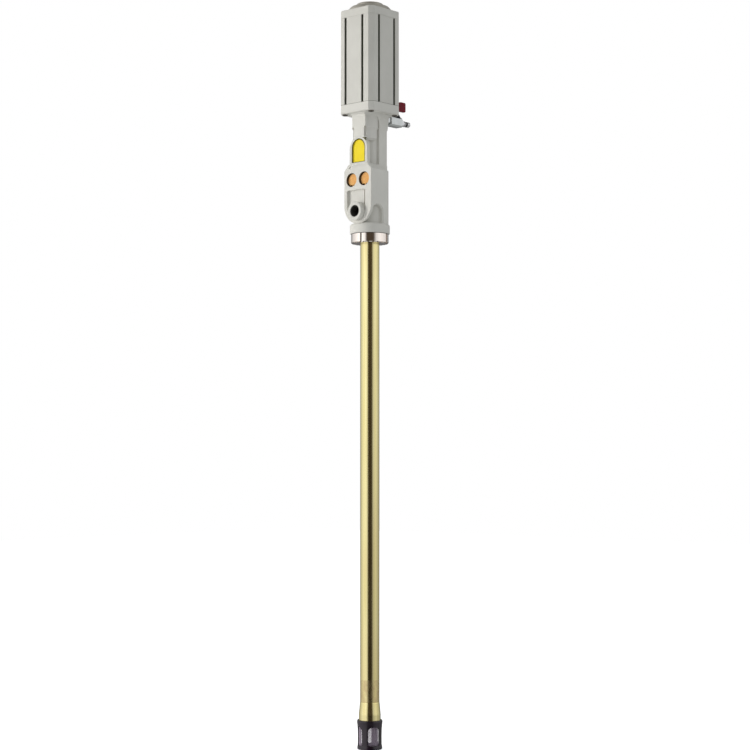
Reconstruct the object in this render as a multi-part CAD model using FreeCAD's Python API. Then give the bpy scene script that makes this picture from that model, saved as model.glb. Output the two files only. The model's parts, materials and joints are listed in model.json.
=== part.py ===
import FreeCAD, Part
import math
import os

V = FreeCAD.Vector

# Air-operated drum oil pump, millimetres. +Z up, origin on the tube axis at the underside of
# the ring nut. The outlet and the labels face -Y, the air inlet points along +Y.

# Fits between mating pieces, all radial
RUN = 0.05
SLIP = 0.05
LIFT_GAP = 0.1

# Suction tube
TUBE_R = 18.0
TUBE_WALL = 2.0
TUBE_BORE = TUBE_R - TUBE_WALL
TUBE_BOTTOM = -853.0
COLLAR_T = 3.5
GASKET_T = 2.0

# Ring nut
NUT_R = 35.2
NUT_H = 18.0
NUT_FLOOR = 4.5
NUT_WALL = 6.2
NUT_THREAD_R = NUT_R - NUT_WALL
COLLAR_R = NUT_THREAD_R - 1.5
NUT_NOTCHES = 4
NUT_NOTCH_W = 4.5
NUT_NOTCH_D = 3.0
NUT_NOTCH_PHASE = 15.0
NUT_TEETH = 24
NUT_TOOTH_W = 3.0
NUT_TOOTH_D = 1.4

# Pump body casting
FLANGE_R = NUT_R + 2.3
FLANGE_TOP = NUT_H + 18.0
LOW_CYL_R = 27.0
PLATE_W = 69.6
PLATE_HALF = PLATE_W / 2
PLATE_FRONT = -34.0
PLATE_T = 5.0
PLATE_ARC_Z = FLANGE_TOP - 0.8 + PLATE_HALF
EDGE = 1.2
SHOULDER_Z0 = 136.0
SHOULDER_Z1 = SHOULDER_Z0 + 12.0
BACK_FLAT_Y = 11.0
BACK_Y = 33.5
ARCH_R = 13.5
ARCH_TOP = 70.0
NAME_W = PLATE_W - 23.0
NAME_FRONT = PLATE_FRONT + 2.0
NAME_T = 6.0
NAME_SHOULDER_X = NAME_W / 2 + 0.7
LABEL_W = NAME_W - 13.0
LABEL_H = 44.8
LABEL_Z0 = SHOULDER_Z1 + 2.4
LABEL_Z1 = LABEL_Z0 + LABEL_H
NAME_TOP = LABEL_Z1 + 4.0
LABEL_DEPTH = 4.0
LABEL_T = 0.8
PANEL_W = PLATE_W - 23.6
PANEL_SHIFT = -4.0
PANEL_TOP = 99.0
PANEL_DEPTH = 5.0
PANEL_GROOVE_W = 7.0
PANEL_GROOVE_DEPTH = 8.0
ARCH_BEVEL = 2.2
DENT_W = 2.4
DENT_DEPTH = 2.6

# Air motor
MOTOR_W = 85.0
MOTOR_HALF = MOTOR_W / 2
MOTOR_WALL = 10.0
MOTOR_BORE = MOTOR_HALF - MOTOR_WALL
MOTOR_CHAMFER = MOTOR_W / 10.4
JOINT_EDGE = 0.6
BASE_Z = 243.5
BASE_T = 16.5
BARREL_Z = BASE_Z + BASE_T
BARREL_L = 165.0
BARREL_TOP = BARREL_Z + BARREL_L
CAP_TOP = BARREL_TOP + 14.7
CAP_STEP_R = MOTOR_HALF - 1.0
CAP_STEP_TOP = CAP_TOP + 8.7
COVER_R = CAP_STEP_R - 16.0
COVER_SPIGOT_R = COVER_R - 4.0
COVER_TOP = CAP_STEP_TOP + 6.0
SPIGOT_H = 5.0
SEAL_SECTION = 1.1
SEAL_GROOVE = 2.3
GROOVE_X = MOTOR_W / 4
GROOVE_W = 5.6
GROOVE_D = 6.0
FRONT_GROOVE_SHIFT = -2.0
BOLT_XY = MOTOR_HALF - 9.5
BOLT_R = 3.0
BOLT_HEAD_R = 5.0
BOLT_HEAD_H = 6.0
BOLT_SINK = 4.0
CHANNEL_Y = MOTOR_HALF - MOTOR_WALL / 2
CHANNEL_R = 2.4
EXHAUST_X = 13.0
EXHAUST_Y = CHANNEL_Y - 1.5

# Neck between the motor base and the lower block
NECK_CORE_R = 17.0
NECK_Y = 29.5 - MOTOR_HALF
NECK_LOW_R = MOTOR_HALF - 20.0
NECK_R = NECK_LOW_R + 1.8
NECK_FRONT = NAME_FRONT + 1.0
NECK_FLARE = 6.5
NECK_FLARE_STEPS = 5
NECK_STEP_Z = BASE_Z - 28.0
POCKET_TOP = BASE_Z - 48.0
DUCT_HALF = 22.0
DUCT_BACK = 26.5
DUCT_FLANK = 2.0
DUCT_EDGE = 3.0
SLOT_X = 15.0
SLOT_W = 4.5
SLOT_DEPTH = 3.0

# Silencers in the two round windows
SILENCER_X = PLATE_W / 2 - 19.1
SILENCER_Z = SHOULDER_Z0 - 17.7
SILENCER_R = 13.0
SILENCER_FACE = PLATE_FRONT + 4.5
SILENCER_T = 3.0
CLIP_T = 1.0
CLIP_DEPTH = 0.6

# Outlet
OUTLET_Z = 58.0
OUTLET_R = 17.6
OUTLET_Y = PLATE_FRONT - 9.0
OUTLET_BORE = 10.5
OUTLET_MOUTH = 11.5

# Fluid chamber, gland and neck bore
CHAMBER_R = 20.0
GLAND_R = CHAMBER_R - 3.0
GLAND_TOP = 98.0
GLAND_H = 22.0
CHAMBER_TOP = GLAND_TOP - GLAND_H - 4.0
NECK_BORE = NECK_CORE_R - 2.5
NECK_BORE_TOP = BASE_Z - 9.0
BUSH_R = 12.0
BUSH_Z0 = BASE_Z - 7.0
BUSH_TOP = BARREL_Z + 4.0

# Reciprocating group
STROKE = 100.0
AIR_PISTON_Z = BARREL_Z + 10.0
AIR_PISTON_T = 18.0
AIR_SEAL_Z = AIR_PISTON_Z + 4.0
AIR_BAND_Z = AIR_PISTON_Z + 10.5
AIR_BAND_H = 4.0
AIR_SEAL_DEPTH = 3.5
AIR_BAND_DEPTH = 2.0
ROD_R = 8.0
ROD_STUD_R = 6.0
ROD_BORE = 5.0
DISP_ROD_R = 11.0
COUPLING_R = DISP_ROD_R + 1.5
COUPLING_TOP = NECK_BORE_TOP - STROKE
ROD_BOTTOM = COUPLING_TOP - 16.0
DISP_ROD_TOP = COUPLING_TOP - 30.0
DISP_STUD_R = DISP_ROD_R - 4.0
PIN_R = 1.5

# Reversing valve in the cap
SPOOL_R = 8.0
SPOOL_Z0 = BARREL_TOP - 3.0
SPOOL_FLOOR = CAP_TOP + 2.0
SPOOL_HEAD_R = 10.5
SPOOL_TRAVEL = 6.0
TRIP_R = 2.5
TRIP_COLLAR_R = 4.4
TRIP_COLLAR_Z = AIR_PISTON_Z - 20.0
TRIP_COLLAR_H = 4.0
SPRING_WIRE = 0.6

# Pump piston and foot valve
PISTON_BALL_R = TUBE_BORE - 9.0
PISTON_SEAT_R = PISTON_BALL_R - 1.5
PISTON_BOTTOM = TUBE_BOTTOM + 23.0
PISTON_SEAT_TOP = PISTON_BOTTOM + 10.0
PISTON_SCREW_R = PISTON_BALL_R + 2.5
DISP_ROD_BOTTOM = PISTON_SEAT_TOP + 24.0
FOOT_FLARE_R = TUBE_R + 2.3
FOOT_FLARE_Z = TUBE_BOTTOM - 20.0
FOOT_BOTTOM = TUBE_BOTTOM - 40.0
FOOT_TOP = TUBE_BOTTOM + 13.0
FOOT_BALL_R = TUBE_BORE - 6.0
FOOT_SEAT_R = FOOT_BALL_R - 2.0
FOOT_SEAT_TOP = TUBE_BOTTOM - 19.0
FOOT_SCREW_R = TUBE_R - 3.0
FOOT_CHAMBER_R = FOOT_BALL_R + 2.5
STOP_PIN_Z = FOOT_TOP - 9.0

# Strainer
STRAINER_TOP = FOOT_BOTTOM + 7.0
STRAINER_BOTTOM = STRAINER_TOP - 54.0
STRAINER_BORE = FOOT_FLARE_R + 0.1
STRAINER_TOP_R = STRAINER_BORE + 3.4
STRAINER_WAIST_R = STRAINER_BORE + 2.0
STRAINER_BOTTOM_R = STRAINER_BORE + 2.7
STRAINER_FLOOR = STRAINER_BOTTOM + 3.0
WINDOW_Z0 = STRAINER_BOTTOM + 8.0
WINDOW_Z1 = STRAINER_TOP - 12.0
WINDOW_W = 21.5
WINDOW_PHASE = -27.0
MESH_T = 0.6

# Air inlet valve and plug
INLET_Z = BASE_Z - 3.5
INLET_BOSS_R = 10.0
INLET_FACE = MOTOR_HALF - 4.0
INLET_THREAD_R = 6.5
THREAD_L = 8.0
NIPPLE_HEX = 15.0
VALVE_Y0 = MOTOR_HALF + 8.0
VALVE_Y = MOTOR_HALF + 29.5
VALVE_Y1 = VALVE_Y + 12.0
VALVE_SEAT_END = 7.5
VALVE_AF = 18.6
VALVE_CHAMFER = 2.8
VALVE_BORE = INLET_THREAD_R + 0.1
VALVE_BALL_R = VALVE_BORE - 0.4
SCREW_IN = VALVE_Y1 - VALVE_Y - VALVE_SEAT_END
NIPPLE_END = VALVE_Y - VALVE_SEAT_END
SEAT_T = VALVE_SEAT_END - 3.6
AIR_BORE = 3.5
STEM_R = 3.0
STEM_TIP_R = 2.5
BONNET_R = 11.0
BONNET_TOP_R = 7.0
BONNET_TOP = INLET_Z + 16.0
GLAND_NUT_H = 4.0
HANDLE_Z0 = BONNET_TOP + GLAND_NUT_H + 2.6
HANDLE_H = 18.4
HANDLE_Z1 = HANDLE_Z0 + HANDLE_H
HUB_R = 7.0
HUB_DROP = 0.7
HUB_TOP = HANDLE_Z0 + 5.0
HANDLE_SPAN = 56.0
HANDLE_T = 4.6
PLUG_HEX = 14.0
PLUG_L = 28.0
PLUG_END = VALVE_Y1 + PLUG_L
PLUG_R = 5.6
PLUG_TIP_R = 5.2


def box(x0, x1, y0, y1, z0, z1):
    return Part.makeBox(x1 - x0, y1 - y0, z1 - z0, V(x0, y0, z0))


def zcyl(radius, z0, z1, x=0.0, y=0.0):
    return Part.makeCylinder(radius, z1 - z0, V(x, y, z0))


def ycyl(radius, y0, y1, x=0.0, z=0.0):
    return Part.makeCylinder(radius, y1 - y0, V(x, y0, z), V(0, 1, 0))


def xcyl(radius, x0, x1, y=0.0, z=0.0):
    return Part.makeCylinder(radius, x1 - x0, V(x0, y, z), V(1, 0, 0))


def drill(radius, start, end):
    axis = end - start
    return Part.makeCylinder(radius, axis.Length, start, axis)


def polygon_face(points):
    return Part.Face(Part.makePolygon(points + [points[0]]))


def revolved(profile, centre=V(0, 0, 0), along_y=False):
    """Solid of revolution from (radius, height) points, about Z or about Y."""
    if along_y:
        face = polygon_face([V(r, h, 0) + centre for r, h in profile])
        return face.revolve(centre, V(0, 1, 0), 360)
    face = polygon_face([V(r, 0, h) + centre for r, h in profile])
    return face.revolve(centre, V(0, 0, 1), 360)


def ring(inner, outer, z0, z1):
    return revolved([(inner, z0), (outer, z0), (outer, z1), (inner, z1)])


def o_ring(radius, section, z):
    """Seal ring with an eight-sided section, flats outwards, round the Z axis."""
    near = section * math.tan(math.radians(22.5))
    around = [(section, near), (near, section), (-near, section), (-section, near)]
    around += [(-a, -b) for a, b in around]
    return revolved([(radius + a, z + b) for a, b in around])


def fused(pieces):
    shape = pieces[0].fuse(pieces[1:])
    return shape.removeSplitter()


def cut(shape, tools):
    return shape.cut(tools).removeSplitter()


def rounded(shape, radius, wanted):
    """Fillet every edge whose centre passes the test."""
    edges = [edge for edge in shape.Edges if wanted(edge)]
    return shape.makeFillet(radius, edges)


def chamfered(shape, size, wanted):
    edges = [edge for edge in shape.Edges if wanted(edge)]
    return shape.makeChamfer(size, edges)


def mirrored_x(shape):
    return shape.mirror(V(0, 0, 0), V(1, 0, 0))


def both_sides(shape):
    return [shape, mirrored_x(shape)]


def octagon_prism(half, corner, z0, z1):
    """Square prism with its four corners cut off."""
    near = half - corner
    points = [
        V(half, -near, z0), V(half, near, z0), V(near, half, z0), V(-near, half, z0),
        V(-half, near, z0), V(-half, -near, z0), V(-near, -half, z0), V(near, -half, z0),
    ]
    return polygon_face(points).extrude(V(0, 0, z1 - z0))


def hexagon(across, centre, axis, length):
    """Hexagonal prism along Y or Z, with two flats square to X."""
    radius = across / math.sqrt(3)
    points = []
    for step in range(6):
        angle = math.radians(60 * step + 30)
        side = radius * math.cos(angle)
        other = radius * math.sin(angle)
        points.append(centre + (V(side, 0, other) if axis.y else V(side, other, 0)))
    return polygon_face(points).extrude(axis * length)


def arch_face(width, z0, z1, y, round_bottom=False):
    """Upright shape in an XZ plane: straight sides with a half-round top or bottom."""
    half = width / 2
    if round_bottom:
        arc_z = z0 + half
        arc = Part.Arc(V(-half, y, arc_z), V(0, y, z0), V(half, y, arc_z)).toShape()
        far = Part.makePolygon([V(half, y, arc_z), V(half, y, z1), V(-half, y, z1), V(-half, y, arc_z)])
    else:
        arc_z = z1 - half
        arc = Part.Arc(V(-half, y, arc_z), V(0, y, z1), V(half, y, arc_z)).toShape()
        far = Part.makePolygon([V(half, y, arc_z), V(half, y, z0), V(-half, y, z0), V(-half, y, arc_z)])
    return Part.Face(Part.Wire([arc] + far.Edges))


def coil(radius, wire, z0, z1, turns, per_turn=14):
    """Compression spring between two heights, ruled between six-sided wire sections."""
    climb = (z1 - z0 - 2 * wire) / (turns * per_turn)
    sections = []
    for step in range(turns * per_turn + 1):
        section = Part.makePolygon([
            V(radius + wire * math.cos(math.radians(60 * k)), 0, wire * math.sin(math.radians(60 * k)))
            for k in range(7)])
        section.rotate(V(0, 0, 0), V(0, 0, 1), 360 * step / per_turn)
        section.translate(V(0, 0, z0 + wire + climb * step))
        sections.append(section)
    return Part.makeLoft(sections, True, True)


def bolt_places():
    return [(sx * BOLT_XY, sy * BOLT_XY) for sx in (-1, 1) for sy in (-1, 1)]


def body_block():
    """Lower block behind the front plate, with its sloping shoulder and side arches."""
    half = PLATE_W / 2
    z0 = FLANGE_TOP - 1
    sides = [V(-half, PLATE_FRONT + 1, z0), V(half, PLATE_FRONT + 1, z0), V(half, BACK_FLAT_Y, z0)]
    arc = Part.Arc(V(half, BACK_FLAT_Y, z0), V(0, BACK_Y, z0), V(-half, BACK_FLAT_Y, z0)).toShape()
    front = Part.makePolygon([V(-half, BACK_FLAT_Y, z0)] + sides)
    face = Part.Face(Part.Wire([arc] + front.Edges))
    block = face.extrude(V(0, 0, SHOULDER_Z1 - z0))
    far = -2 * half
    ridge = NAME_SHOULDER_X - 3
    gable = [
        V(-half, far, z0), V(half, far, z0), V(half, far, SHOULDER_Z0),
        V(ridge, far, SHOULDER_Z1), V(-ridge, far, SHOULDER_Z1), V(-half, far, SHOULDER_Z0),
    ]
    block = block.common(polygon_face(gable).extrude(V(0, 4 * half, 0)))
    roof = [
        V(0, -2 * half, z0), V(0, BACK_Y + 1, z0), V(0, BACK_Y + 1, SHOULDER_Z0 - 3),
        V(0, DUCT_BACK - 1, SHOULDER_Z0 + 3), V(0, DUCT_BACK - 1, SHOULDER_Z1), V(0, -2 * half, SHOULDER_Z1),
    ]
    roof_prism = polygon_face(roof).extrude(V(4 * half, 0, 0))
    roof_prism.translate(V(-2 * half, 0, 0))
    ledge = box(DUCT_HALF - 1, half + 1, DUCT_FLANK, BACK_Y + 1, SHOULDER_Z0, SHOULDER_Z1 + 1)
    block = block.common(roof_prism).cut(both_sides(ledge))
    plate_back = PLATE_FRONT + PLATE_T
    arch_y = plate_back + ARCH_R
    keep = zcyl(LOW_CYL_R, z0, ARCH_TOP + 5)
    arch = [
        xcyl(ARCH_R, 5, half + 5, arch_y, ARCH_TOP - ARCH_R),
        box(5, half + 5, plate_back, plate_back + 2 * ARCH_R, z0 - 1, ARCH_TOP - ARCH_R),
    ]
    rim = half - ARCH_BEVEL
    arch.append(Part.makeCone(
        ARCH_R, ARCH_R + 2 * ARCH_BEVEL, 2 * ARCH_BEVEL, V(rim, arch_y, ARCH_TOP - ARCH_R), V(1, 0, 0)))
    pillar = arch_y + ARCH_R
    wedge = polygon_face([
        V(rim, pillar - 0.1, z0), V(rim, pillar, z0),
        V(rim + 2 * ARCH_BEVEL, pillar + 2 * ARCH_BEVEL, z0), V(rim + 2 * ARCH_BEVEL, pillar - 0.1, z0)])
    arch.append(wedge.extrude(V(0, 0, ARCH_TOP - ARCH_R - z0)))
    arch = fused(arch).cut([keep, box(5, half + 9, plate_back - 9, plate_back, z0 - 1, SHOULDER_Z0)])
    below = box(-half - 5, half + 5, PLATE_FRONT - 5, plate_back, z0 - 1, PLATE_ARC_Z)
    disc = ycyl(half, PLATE_FRONT - 6, plate_back + 1, 0, PLATE_ARC_Z)
    below = below.cut([disc, keep])
    return block.cut(both_sides(arch) + [below])


def front_plate():
    half = PLATE_W / 2
    y = PLATE_FRONT
    arc = Part.Arc(V(-half, y, PLATE_ARC_Z), V(0, y, PLATE_ARC_Z - half), V(half, y, PLATE_ARC_Z))
    top = Part.makePolygon([
        V(half, y, PLATE_ARC_Z), V(half, y, SHOULDER_Z0), V(NAME_SHOULDER_X, y, SHOULDER_Z1),
        V(-NAME_SHOULDER_X, y, SHOULDER_Z1), V(-half, y, SHOULDER_Z0), V(-half, y, PLATE_ARC_Z),
    ])
    plate = Part.Face(Part.Wire([arc.toShape()] + top.Edges)).extrude(V(0, PLATE_T, 0))
    plate = chamfered(plate, EDGE, lambda edge: abs(edge.BoundBox.YMax - y) < 0.01)
    slope = [
        V(0, y - 1, SHOULDER_Z1 - 4.6), V(0, y, SHOULDER_Z1 - 4.6),
        V(0, NAME_FRONT, SHOULDER_Z1), V(0, NAME_FRONT, SHOULDER_Z1 + 1), V(0, y - 1, SHOULDER_Z1 + 1),
    ]
    bevel = polygon_face(slope).extrude(V(2 * PLATE_W, 0, 0))
    bevel.translate(V(-PLATE_W, 0, 0))
    return plate.cut(bevel)


def name_arch():
    face = arch_face(NAME_W, SHOULDER_Z1 - 10, NAME_TOP, NAME_FRONT)
    plate = face.extrude(V(0, NAME_T, 0))
    return chamfered(plate, EDGE, lambda edge: abs(edge.BoundBox.YMax - NAME_FRONT) < 0.01)


def neck():
    """Slim core round the rod, with a wider neck set forward of it that flares into the base."""
    outline = [
        (0, POCKET_TOP - 4), (NECK_LOW_R - 5, POCKET_TOP - 4), (NECK_LOW_R, POCKET_TOP),
        (NECK_LOW_R, NECK_STEP_Z - 3), (NECK_R, NECK_STEP_Z),
    ]
    for step in range(NECK_FLARE_STEPS + 1):
        angle = math.radians(90 * step / NECK_FLARE_STEPS)
        outline.append((
            NECK_R + NECK_FLARE * (1 - math.cos(angle)),
            BASE_Z - NECK_FLARE * (1 - math.sin(angle)),
        ))
    outline += [(NECK_R + NECK_FLARE, BASE_Z + 2), (0, BASE_Z + 2)]
    far = NECK_Y - 2 * NECK_R
    line = [
        (far, POCKET_TOP - 5), (NECK_FRONT, POCKET_TOP - 5), (NECK_FRONT, BASE_Z - 8),
        (NECK_FRONT - 1.5, BASE_Z - 3.5), (NECK_FRONT - 5, BASE_Z), (NECK_FRONT - 5, BASE_Z + 3), (far, BASE_Z + 3)]
    front = polygon_face([V(-2 * NECK_R, y, z) for y, z in line]).extrude(V(4 * NECK_R, 0, 0))
    slots = both_sides(neck_slot()) + [front]
    core = zcyl(NECK_CORE_R, SHOULDER_Z0, BASE_Z + 1)
    return [core, revolved(outline, V(0, NECK_Y, 0)).cut(slots)]


def duct():
    """Square air duct up the back of the neck."""
    half = DUCT_HALF
    low = box(-half, half, DUCT_FLANK, DUCT_BACK, SHOULDER_Z0, BASE_Z + 1)
    low = chamfered(low, DUCT_EDGE, lambda e: e.BoundBox.ZLength > 20 and e.BoundBox.YMin > DUCT_BACK - 1)
    z0 = NECK_STEP_Z - 1
    sweep = ((0, z0 + 6), (-2, BASE_Z - 14), (-7, BASE_Z - 7), (-16, BASE_Z - 2), (-20, BASE_Z + 1))
    front_line = [V(-2 * half, DUCT_FLANK + y, z) for y, z in sweep]
    back_y = DUCT_BACK - DUCT_EDGE / 2
    side = front_line + [
        V(-2 * half, back_y + 5, BASE_Z + 1), V(-2 * half, back_y + 2, BASE_Z - 5),
        V(-2 * half, back_y, z0), V(-2 * half, DUCT_FLANK, z0)]
    flare = ((0.4, z0), (1.8, BASE_Z - 8), (3.0, BASE_Z - 3), (5.0, BASE_Z + 1))
    face = [V(half + x, -2 * half, z) for x, z in flare]
    face += [V(-half - x, -2 * half, z) for x, z in reversed(flare)]
    top = polygon_face(side).extrude(V(4 * half, 0, 0))
    top = top.common(polygon_face(face).extrude(V(0, 4 * half, 0)))
    return [low, top]


def neck_slot():
    """One of the two short slots that rise from behind the name plate."""
    floor = NECK_Y + SLOT_DEPTH - math.sqrt(NECK_LOW_R ** 2 - SLOT_X ** 2)
    return box(
        SLOT_X - SLOT_W / 2, SLOT_X + SLOT_W / 2, NECK_Y - 2 * NECK_R, floor,
        POCKET_TOP + 3, NECK_STEP_Z + 2)


def pump_body():
    flange = revolved([
        (0, NUT_H), (FLANGE_R - 0.8, NUT_H), (FLANGE_R, NUT_H + 0.8), (FLANGE_R, FLANGE_TOP - 2.5),
        (FLANGE_R - 2.5, FLANGE_TOP), (LOW_CYL_R + 1.5, FLANGE_TOP), (LOW_CYL_R, FLANGE_TOP + 1.5),
        (LOW_CYL_R, ARCH_TOP + 6), (0, ARCH_TOP + 6),
    ])
    spigot = zcyl(NUT_THREAD_R - SLIP, NUT_FLOOR + COLLAR_T + GASKET_T, NUT_H + 1)
    base = octagon_prism(MOTOR_HALF, MOTOR_CHAMFER, BASE_Z, BARREL_Z)
    base = chamfered(base, EDGE, lambda e: e.BoundBox.ZMax < BASE_Z + 0.01)
    spigot_top = zcyl(MOTOR_BORE - SLIP, BARREL_Z - 1, BARREL_Z + SPIGOT_H)
    boss = ycyl(OUTLET_R, OUTLET_Y, -22, 0, OUTLET_Z)
    boss = chamfered(boss, 1.3, lambda e: e.BoundBox.YMax < OUTLET_Y + 0.01)
    inlet = ycyl(INLET_BOSS_R, 10, INLET_FACE, 0, INLET_Z)
    inlet = chamfered(inlet, 1.0, lambda e: e.BoundBox.YMin > INLET_FACE - 0.01)
    web = box(-NAME_W / 4, NAME_W / 4, NAME_FRONT + 3, -NECK_CORE_R / 2, SHOULDER_Z0, NAME_TOP - 6)
    panel = arch_face(PANEL_W, PLATE_ARC_Z - PANEL_W / 2, PANEL_TOP, PLATE_FRONT - 1, True)
    panel = panel.extrude(V(0, PANEL_DEPTH + 1, 0))
    panel.translate(V(PANEL_SHIFT, 0, 0))
    panel = rounded(panel, 3.0, lambda e: e.BoundBox.YLength > 4 and e.BoundBox.ZMin > PANEL_TOP - 1)
    groove_x = PANEL_SHIFT + PANEL_W / 2
    groove = box(
        groove_x - PANEL_GROOVE_W, groove_x, PLATE_FRONT - 1, PLATE_FRONT + PANEL_GROOVE_DEPTH,
        OUTLET_Z, PANEL_TOP - 1)
    outer = fused([flange, body_block(), front_plate()]).cut([panel, groove])
    outer = fused([outer, spigot, base, spigot_top, boss, inlet, web, name_arch()] + neck() + duct())

    label = arch_face(LABEL_W, LABEL_Z0, LABEL_Z1, NAME_FRONT - 1).extrude(V(0, LABEL_DEPTH + 1, 0))
    cuts = [label]
    dent = box(-DENT_W / 2, DENT_W / 2, PLATE_FRONT - 1, PLATE_FRONT + DENT_DEPTH, -2.8, 2.8)
    dent.rotate(V(0, 0, 0), V(0, 1, 0), 28)
    dent.translate(V(4.5 - NAME_SHOULDER_X, 0, SHOULDER_Z1 - 6))
    cuts.append(dent)
    for side in (-1, 1):
        x = side * SILENCER_X
        seat = SILENCER_FACE + SILENCER_T
        cuts.append(ycyl(SILENCER_R, PLATE_FRONT - 1, seat, x, SILENCER_Z))
        cuts.append(ycyl(SILENCER_R - 3, seat - 1, -4, x, SILENCER_Z))
        groove_y = SILENCER_FACE - CLIP_T
        cuts.append(ycyl(SILENCER_R + CLIP_DEPTH, groove_y - 0.1, SILENCER_FACE, x, SILENCER_Z))
        exhaust_top = V(side * EXHAUST_X, EXHAUST_Y, BARREL_Z - 10)
        cuts.append(zcyl(CHANNEL_R, BARREL_Z - 11, BARREL_Z + 1, side * EXHAUST_X, EXHAUST_Y))
        cuts.append(drill(CHANNEL_R, exhaust_top, V(side * 5, 9, BASE_Z - 22)))
    cuts.append(ycyl(OUTLET_BORE, OUTLET_Y - 1, -14, 0, OUTLET_Z))
    cuts.append(Part.makeCone(
        OUTLET_MOUTH, OUTLET_BORE, 2.0, V(0, OUTLET_Y - 0.01, OUTLET_Z), V(0, 1, 0)))
    cuts.append(zcyl(CHAMBER_R, 0, CHAMBER_TOP))
    cuts.append(zcyl(GLAND_R, CHAMBER_TOP - 1, GLAND_TOP))
    cuts.append(zcyl(GLAND_R + 1.3, GLAND_TOP - GLAND_H - 1.9, GLAND_TOP - GLAND_H))
    cuts.append(zcyl(NECK_BORE, GLAND_TOP - 1, NECK_BORE_TOP))
    cuts.append(zcyl(BUSH_R, NECK_BORE_TOP - 1, BUSH_TOP))
    cuts.append(zcyl(BUSH_R - 2, BUSH_TOP - 1, BARREL_Z + SPIGOT_H + 1))
    cuts.append(ring(MOTOR_BORE - SEAL_GROOVE, MOTOR_BORE + 2, BARREL_Z + 1.3, BARREL_Z + 3.7))
    cuts.append(ycyl(INLET_THREAD_R + SLIP, INLET_FACE - THREAD_L, MOTOR_HALF + 1, 0, INLET_Z))
    cuts.append(ycyl(AIR_BORE, INLET_FACE - THREAD_L - 6, INLET_FACE - THREAD_L + 1, 0, INLET_Z))
    rise = V(0, INLET_FACE - THREAD_L - 4, INLET_Z)
    cuts.append(drill(CHANNEL_R, rise, V(0, CHANNEL_Y, BARREL_Z - 3)))
    cuts.append(zcyl(CHANNEL_R, BARREL_Z - 4, BARREL_Z + 1, 0, CHANNEL_Y))
    for x, y in bolt_places():
        cuts.append(zcyl(BOLT_R + 0.3, BASE_Z - 1, BARREL_Z + 1, x, y))
        cuts.append(zcyl(BOLT_HEAD_R + 0.5, BASE_Z - 1, BASE_Z + BOLT_SINK, x, y))
    return cut(outer, cuts)


def motor_cylinder():
    barrel = octagon_prism(MOTOR_HALF, MOTOR_CHAMFER, BARREL_Z, BARREL_TOP)
    barrel = chamfered(barrel, JOINT_EDGE, lambda e: e.BoundBox.ZLength < 0.01)
    cuts = [zcyl(MOTOR_BORE, BARREL_Z - 1, BARREL_TOP + 1)]
    for quarter in range(4):
        shift = 0.0 if quarter else FRONT_GROOVE_SHIFT
        for middle in (shift - GROOVE_X, shift + GROOVE_X):
            groove = box(
                middle - GROOVE_W / 2, middle + GROOVE_W / 2,
                -MOTOR_HALF - 1, -MOTOR_HALF + GROOVE_D, BARREL_Z - 1, BARREL_TOP + 1)
            groove.rotate(V(0, 0, 0), V(0, 0, 1), 90 * quarter)
            cuts.append(groove)
    for x, y in bolt_places():
        cuts.append(zcyl(BOLT_R + 0.3, BARREL_Z - 1, BARREL_TOP + 1, x, y))
    for x, y in ((0, CHANNEL_Y), (-EXHAUST_X, EXHAUST_Y), (EXHAUST_X, EXHAUST_Y)):
        cuts.append(zcyl(CHANNEL_R, BARREL_Z - 1, BARREL_TOP + 1, x, y))
    return barrel.cut(cuts)


def motor_top_cap():
    slab = octagon_prism(MOTOR_HALF, MOTOR_CHAMFER, BARREL_TOP, CAP_TOP)
    slab = chamfered(slab, EDGE, lambda e: e.BoundBox.ZMin > CAP_TOP - 0.01)
    step = revolved([
        (0, CAP_TOP - 1), (CAP_STEP_R, CAP_TOP - 1), (CAP_STEP_R - 0.5, CAP_TOP + 2.0),
        (CAP_STEP_R - 2.4, CAP_TOP + 4.4), (CAP_STEP_R - 5.4, CAP_STEP_TOP - 1.2),
        (CAP_STEP_R - 8.5, CAP_STEP_TOP), (0, CAP_STEP_TOP),
    ])
    spigot = zcyl(MOTOR_BORE - SLIP, BARREL_TOP - SPIGOT_H, BARREL_TOP + 1)
    cap = fused([slab, step, spigot])
    port = SPOOL_Z0 + 13
    cuts = [
        zcyl(SPOOL_R + RUN, BARREL_TOP - SPIGOT_H - 1, SPOOL_FLOOR),
        zcyl(COVER_SPIGOT_R, SPOOL_FLOOR, CAP_STEP_TOP + 1),
        ring(MOTOR_BORE - SEAL_GROOVE, MOTOR_BORE + 2, BARREL_TOP - 3.7, BARREL_TOP - 1.3),
        ring(SPOOL_R - 1, SPOOL_R + 3, port - 2.5, port + 2.5),
        ycyl(CHANNEL_R, 5, CHANNEL_Y, 0, port),
        zcyl(CHANNEL_R, BARREL_TOP - 1, port, 0, CHANNEL_Y),
    ]
    for side in (-1, 1):
        top = V(side * EXHAUST_X, EXHAUST_Y, BARREL_TOP + 3)
        cuts.append(zcyl(CHANNEL_R, BARREL_TOP - 1, top.z + 1, top.x, top.y))
        cuts.append(drill(2.0, top, V(side * 1.5, 4, top.z)))
    for x, y in bolt_places():
        cuts.append(zcyl(BOLT_R + SLIP, BARREL_TOP - 1, BARREL_TOP + 11, x, y))
    return cut(cap, cuts)


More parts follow.
